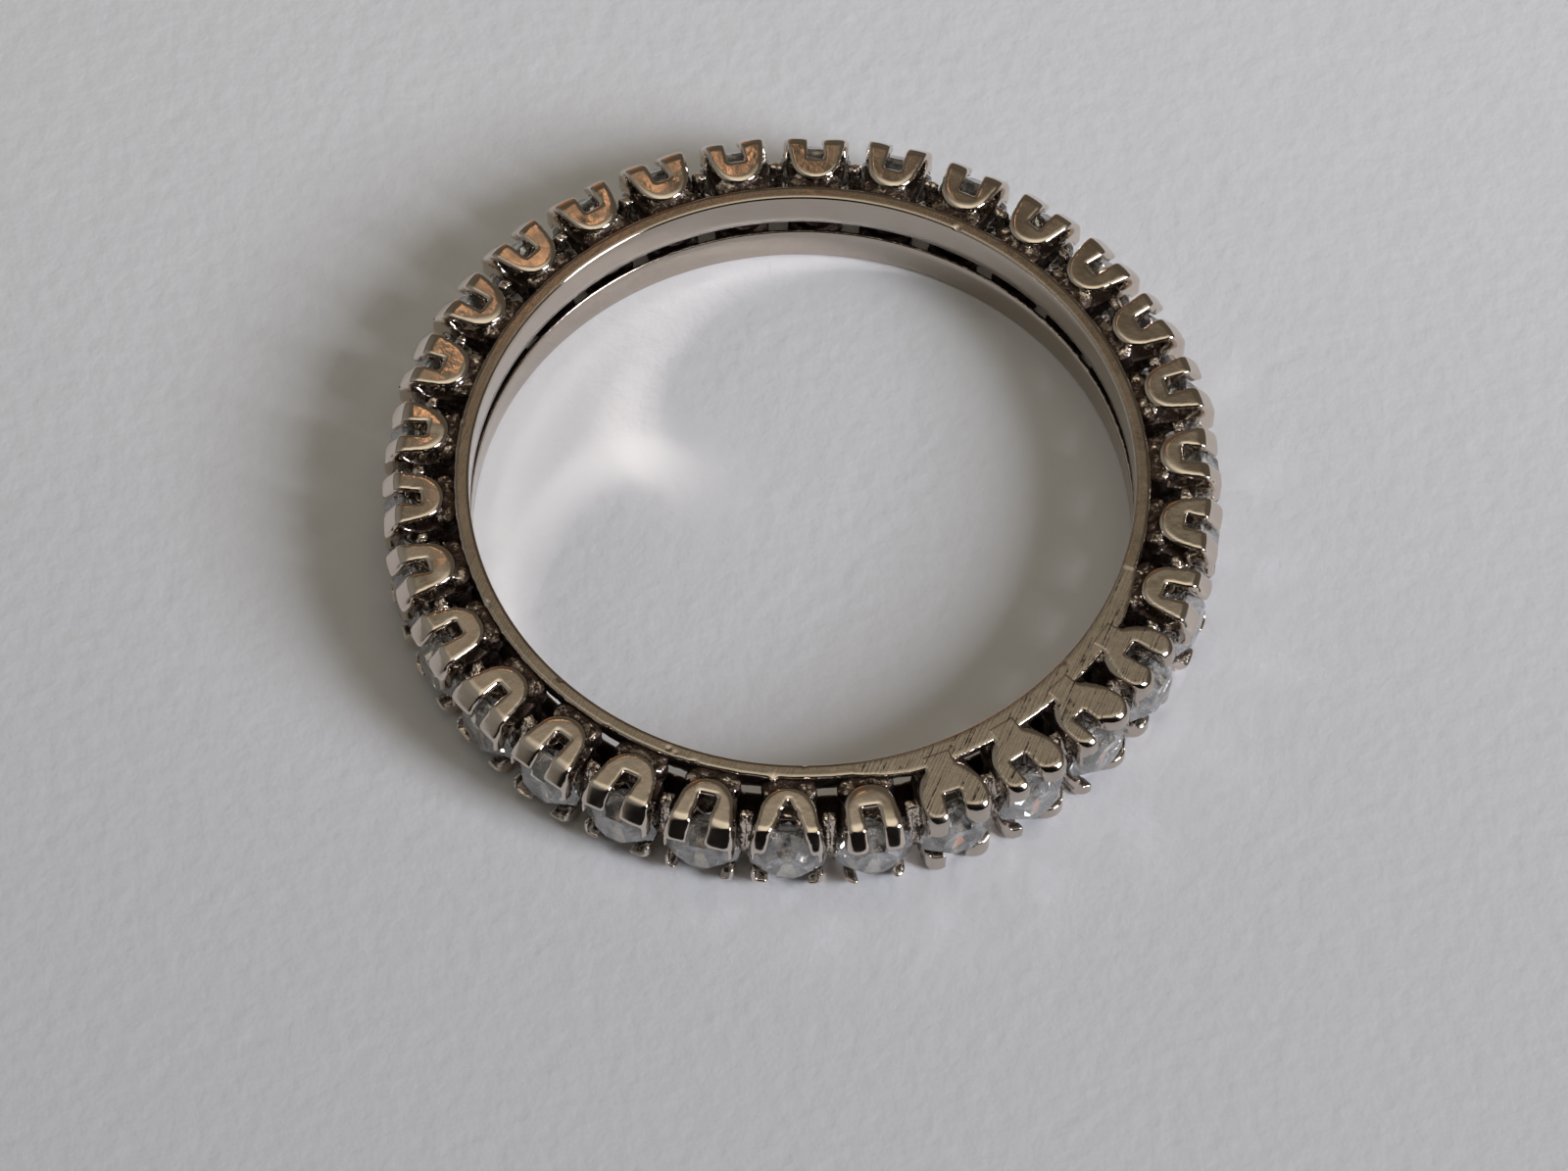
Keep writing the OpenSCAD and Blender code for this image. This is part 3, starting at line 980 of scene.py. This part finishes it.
@dataclass(frozen=True)
class WhiteGold:
    """18 carat white gold, cast, filed and polished by hand, then worn for decades.

    The polish gives soft mirror-like reflections, the file leaves fine slanting lines on the flat faces, wear
    brightens the edges, the solder stays grainy, and grease and grit darken every recess that a cloth can't
    reach. That darkening is painted shade as well as grime, since it follows how hidden each point is.
    """

    name: str = "white_gold"
    bright: str = "#E2D7CD"
    warm: str = "#D6C8BA"
    # Painted shade as well as grime: the dark tone given to the recesses.
    grime_and_shade: str = "#4E4038"
    tarnished: str = "#A0968A"
    polish: float = 0.06
    worn: float = 0.17
    satin: float = 0.26
    grainy: float = 0.24
    crusty: float = 0.45

    def material(self) -> Material:
        """Builds the finish.

        Returns:
            The material.
        """
        mat, tree, shader = new_material(self.name)
        shader.inputs["Metallic"].default_value = 1.0
        place = add_node(tree, "TexCoord").outputs["Object"]
        grain = add_node(tree, "Attribute", attribute_name="grain").outputs["Vector"]
        filed, hidden, edge, web, dull = (add_node(tree, "Attribute", attribute_name=name).outputs["Fac"]
                                          for name in ("filed", "dirt_and_shade", "edge", "web", "dull"))
        cloud, blot, grit, wear = (
            add_node(tree, "TexNoise",
                     {"Vector": place, "Scale": pattern(size), "Detail": detail}).outputs["Fac"]
            for size, detail in ((0.8, 5.0), (0.2, 3.0), (0.06, 4.0), (0.25, 4.0)))
        lines = add_node(tree, "Mapping", {"Vector": grain, "Scale": (1.0, 0.03, 0.03)}).outputs["Vector"]
        # A file's finest lines are about 0.01 mm apart. Its deeper ones are drawn, 0.05 mm wide, so that they
        # show. The mesh holds the strokes' way in millimetres.
        scratch = add_node(tree, "TexNoise", {"Vector": lines, "Scale": 1 / 0.05, "Detail": 3.0}).outputs["Fac"]
        patchy, spotty, rough = (
            add_node(tree, "MapRange", {"Value": noise, "From Min": 0.35, "From Max": 0.65,
                                        "To Min": least, "To Max": most}).outputs["Result"]
            for noise, least, most in ((blot, -0.2, 0.2), (grit, -0.14, 0.14), (cloud, self.polish, self.worn)))
        streak = add_node(tree, "MapRange", {"Value": scratch, "From Min": 0.5, "From Max": 0.7})
        lined = add_node(tree, "Math", {0: streak.outputs[0], 1: filed}, operation="MULTIPLY").outputs[0]
        # Painted shade as well as grime: the share, worked out from how hidden each point is, darkens the
        # recesses; noise, file lines and worn edges move it.
        deep = hidden
        for share, weight in ((patchy, 1.0), (spotty, 1.0), (edge, -0.5), (lined, 0.7)):
            deep = add_node(tree, "Math", {0: share, 1: weight, 2: deep}, operation="MULTIPLY_ADD").outputs[0]
        dirt_and_shade = add_node(tree, "MapRange", {"Value": deep, "From Min": 0.34, "From Max": 0.72},
                        interpolation_type="SMOOTHSTEP").outputs["Result"]
        colour = linear(self.warm)
        for share, tone in ((cloud, self.bright), (dull, self.tarnished), (dirt_and_shade, self.grime_and_shade)):
            colour = add_node(tree, "Mix", {0: share, 6: colour, 7: linear(tone)}, data_type="RGBA").outputs[2]
        tree.links.new(colour, shader.inputs["Base Color"])
        for share, value in ((filed, self.satin), (web, self.grainy), (edge, self.polish), (dirt_and_shade, self.crusty)):
            rough = add_node(tree, "Mix", {0: share, 2: rough, 3: value}, data_type="FLOAT").outputs[0]
        tree.links.new(rough, shader.inputs["Roughness"])
        line_force = add_node(tree, "Math", {0: filed, 1: 0.6}, operation="MULTIPLY").outputs[0]
        normal = None
        for height, force, depth in ((wear, 0.25, 0.012), (scratch, line_force, 0.024),
                                     (blot, web, 0.07), (grit, dirt_and_shade, 0.035)):
            sockets = {"Height": height, "Strength": force, "Distance": depth * MM}
            if normal:
                sockets["Normal"] = normal
            normal = add_node(tree, "Bump", sockets).outputs["Normal"]
        tree.links.new(normal, shader.inputs["Normal"])
        return mat


@dataclass(frozen=True)
class Diamond:
    """Small old diamonds, cut and polished, slightly included and greyed by skin grease."""

    name: str = "diamond"
    tint: str = "#F4F3F1"
    ior: float = 2.417
    clarity: tuple[float, float] = (0.66, 0.98)

    def material(self) -> Material:
        """Builds the finish: clear, strongly refracting and faintly cloudy.

        Returns:
            The material.
        """
        mat, tree, shader = new_material(self.name)
        shader.inputs["IOR"].default_value = self.ior
        shader.inputs["Base Color"].default_value = linear(self.tint)
        place = add_node(tree, "TexCoord").outputs["Object"]
        haze = add_node(tree, "TexNoise", {"Vector": place, "Scale": pattern(0.5), "Detail": 6.0,
                                           "Roughness": 0.65}).outputs["Fac"]
        clear = add_node(tree, "MapRange", {"Value": haze, "From Min": 0.65, "From Max": 0.4,
                                            "To Min": self.clarity[0], "To Max": self.clarity[1]})
        tree.links.new(clear.outputs["Result"], shader.inputs["Transmission Weight"])
        rough = add_node(tree, "MapRange", {"Value": haze, "From Min": 0.45, "From Max": 0.7,
                                            "To Min": 0.0, "To Max": 0.06})
        tree.links.new(rough.outputs["Result"], shader.inputs["Roughness"])
        return mat


@dataclass(frozen=True)
class Paper:
    """White drawing paper, matt, with a faint cloudiness from its fibres, and painted shade that darkens it
    towards the camera's side.
    """

    name: str = "paper"
    light: str = "#EDEDEF"
    dark: str = "#E6E6E9"
    # Painted shade: the darker colour the paper takes on the camera's side.
    near: str = "#D2D2D5"
    shade_fade: float = 22.0
    cloud_size: float = 1.6
    tooth_size: float = 0.5

    def material(self) -> Material:
        """Builds the finish.

        Returns:
            The material.
        """
        mat, tree, shader = new_material(self.name)
        shader.inputs["Roughness"].default_value = 0.9
        shader.inputs["Specular IOR Level"].default_value = 0.2
        place = add_node(tree, "TexCoord").outputs["Object"]
        cloud, tooth = (
            add_node(tree, "TexNoise",
                     {"Vector": place, "Scale": pattern(size), "Detail": detail}).outputs["Fac"]
            for size, detail in ((self.cloud_size, 6.0), (self.tooth_size, 3.0)))
        sheet = add_node(tree, "Mix", {0: cloud, 6: linear(self.dark), 7: linear(self.light)}, data_type="RGBA")
        # Painted shade: the paper darkens from the far side to the camera's side, over the set distance each
        # way from the ring.
        depth = add_node(tree, "SeparateXYZ", {"Vector": place}).outputs["Y"]
        shade_fade = self.shade_fade * MM
        front = add_node(tree, "MapRange", {"Value": depth, "From Min": shade_fade, "From Max": -shade_fade},
                         interpolation_type="SMOOTHSTEP").outputs["Result"]
        tone = add_node(tree, "Mix", {0: front, 6: sheet.outputs[2], 7: linear(self.near)}, data_type="RGBA")
        tree.links.new(tone.outputs[2], shader.inputs["Base Color"])
        bump = add_node(tree, "Bump", {"Height": tooth, "Strength": 0.8, "Distance": 0.05 * MM})
        tree.links.new(bump.outputs["Normal"], shader.inputs["Normal"])
        return mat


@dataclass(frozen=True)
class Softbox:
    """One soft light: where it stands as seen from the ring, how large and how strong it is."""

    name: str
    azimuth: float
    elevation: float
    distance: float
    width: float
    height: float
    power: float
    colour: str

    def place(self) -> None:
        """Puts the light in the scene, facing the ring."""
        lamp = bpy.data.lights.new(self.name, "AREA")
        lamp.shape = "RECTANGLE"
        lamp.size = self.width * MM
        lamp.size_y = self.height * MM
        lamp.energy = self.power
        lamp.color = linear(self.colour)[:3]
        way = direction(self.azimuth, self.elevation)
        light = put(self.name, lamp)
        light.location = way * (self.distance * MM)
        light.rotation_euler = way.to_track_quat("Z", "Y").to_euler()


@dataclass(frozen=True)
class Camera:
    """The camera as fitted to the photograph's frame of 1600 by 1195 pixels."""

    elevation: float = 58.08
    azimuth: float = 1.66
    roll: float = 0.44
    distance: float = 175.2
    focal_px: float = 7008.1
    frame_px: tuple[int, int] = (1600, 1195)
    aim_px: tuple[float, float] = (818.6, 483.8)
    aim_height: float = 1.35
    sensor: float = 36.0

    def place(self) -> None:
        """Puts the camera so that the point on the ring's axis at its top lands on its pixel."""
        turn, lean = math.radians(self.azimuth), math.radians(self.roll)
        back = direction(self.azimuth, self.elevation)
        right = Vector((math.cos(turn), math.sin(turn), 0))
        up = back.cross(right)
        tilted = right * math.cos(lean) + up * math.sin(lean)
        basis = Matrix((tilted, back.cross(tilted), back)).transposed()
        aside = (self.aim_px[0] - self.frame_px[0] / 2) / self.focal_px
        above = (self.frame_px[1] / 2 - self.aim_px[1]) / self.focal_px
        seen = Vector((aside, above, -1)).normalized()
        turn_back = seen.rotation_difference(Vector((0, 0, -1))).to_matrix()
        data = bpy.data.cameras.new("camera")
        data.sensor_width = self.sensor
        data.sensor_fit = "HORIZONTAL"
        data.lens = self.focal_px * self.sensor / self.frame_px[0]
        data.clip_start = 0.01
        camera = put("camera", data)
        spot = Vector((0, 0, self.aim_height * MM)) + back * (self.distance * MM)
        camera.matrix_world = Matrix.Translation(spot) @ (basis @ turn_back).to_4x4()
        bpy.context.scene.camera = camera


@dataclass(frozen=True)
class Patch:
    """A part of the room as the ring mirrors it: its direction, its size in degrees and its light."""

    azimuth: float
    elevation: float
    inner: float
    outer: float
    colour: str
    strength: float = 1.0

    def paint(self, tree: NodeTree, way: NodeSocket,
              under: NodeSocket | tuple) -> NodeSocket:
        """Paints the patch over what lies under it.

        Args:
            tree: the world's node tree.
            way: direction of the light that comes in.
            under: colour of the room before this patch.

        Returns:
            The colour after it.
        """
        middle = direction(self.azimuth, self.elevation)
        near = add_node(tree, "VectorMath", {0: way, 1: middle}, operation="DOT_PRODUCT").outputs["Value"]
        share = add_node(tree, "MapRange", {"Value": near, "From Min": math.cos(math.radians(self.outer)),
                                            "From Max": math.cos(math.radians(self.inner))},
                         interpolation_type="SMOOTHSTEP").outputs["Result"]
        light = tuple(v * self.strength for v in linear(self.colour)[:3]) + (1.0,)
        return add_node(tree, "Mix", {0: share, 6: under, 7: light}, data_type="RGBA").outputs[2]


@dataclass
class Studio:
    """White paper under soft light in a dim room."""

    paper_half: float = 600.0
    room: str = "#59534A"
    window: Softbox = Softbox("window", 64, 32, 400, 120, 190, 1.4, "#F1F5FF")
    patches: tuple[Patch, ...] = (
        Patch(180, 75, 25, 50, "#564F43"),
        Patch(180, 89, 5, 34, "#FFF6E0"),
        Patch(-174.8, 55.8, 0.7, 1.5, "#E6B289", 2.0),
        Patch(0, 12, 42, 52, "#141312"),
        Patch(0, 61, 8, 11, "#141312"),
        Patch(-90, 35, 20, 55, "#84827C"),
        Patch(-163, 17, 4, 11, "#C97F48", 0.8),
    )

    def build(self) -> None:
        """Lays the paper, places the window and dims the room."""
        half, low = self.paper_half, -RingSizes().half_h
        corners = np.array([(-half, -half, low), (half, -half, low), (half, half, low), (-half, half, low)])
        mesh_piece("paper", corners, np.array([[0, 1, 2, 3]]), Paper().material())
        self.window.place()
        world = bpy.data.worlds.new("room")
        bpy.context.scene.world = world
        world.use_nodes = True
        tree = world.node_tree
        way = add_node(tree, "TexCoord").outputs["Generated"]
        colour = linear(self.room)
        for patch in self.patches:
            colour = patch.paint(tree, way, colour)
        tree.links.new(colour, tree.nodes["Background"].inputs["Color"])
        bpy.context.scene.view_settings.view_transform = "Standard"
        bpy.context.scene.cycles.blur_glossy = 0.0


@dataclass
class Ring:
    """The whole ring: two rails, the row of collets and the stones."""

    sizes: RingSizes = field(default_factory=RingSizes)
    skin: Skin = field(default_factory=Skin)

    def build_metal(self) -> list[Object]:
        """Builds the rails and the collets.

        Returns:
            The pieces that stand for the metal.
        """
        s = self.sizes
        gold = WhiteGold().material()
        uneven = Lattice(77)
        pieces = [Rail(side, s, uneven).build(gold) for side in RailSide]
        for number in range(1, s.stone_count + 1):
            flush = s.runs_flush(number)
            pieces.append(Collet(number, s, Traits.drawn(number, flush), flush, uneven).build(self.skin, gold))
            LOG.info("%s: %d faces", pieces[-1].name, len(pieces[-1].data.polygons))
        for piece in pieces:
            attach(piece, "root")
            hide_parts("mount")
        return pieces

    def dress_stones(self) -> None:
        """Gives the stones of the frame their finish."""
        diamond = Diamond().material()
        for number in range(1, self.sizes.stone_count + 1):
            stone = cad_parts[f"stone_{number:02d}"]
            stone.data.materials.clear()
            stone.data.materials.append(diamond)


def main() -> None:
    """Builds the ring, its ground, lights and camera."""
    logging.basicConfig(level=logging.INFO, format="%(name)s: %(message)s")
    Camera().place()
    Studio().build()
    ring = Ring()
    pieces = ring.build_metal()
    ring.dress_stones()
    faces = sum(len(piece.data.polygons) for piece in pieces)
    LOG.info("%d pieces of metal with %d quads", len(pieces), faces)


if __name__ == "__main__":
    main()
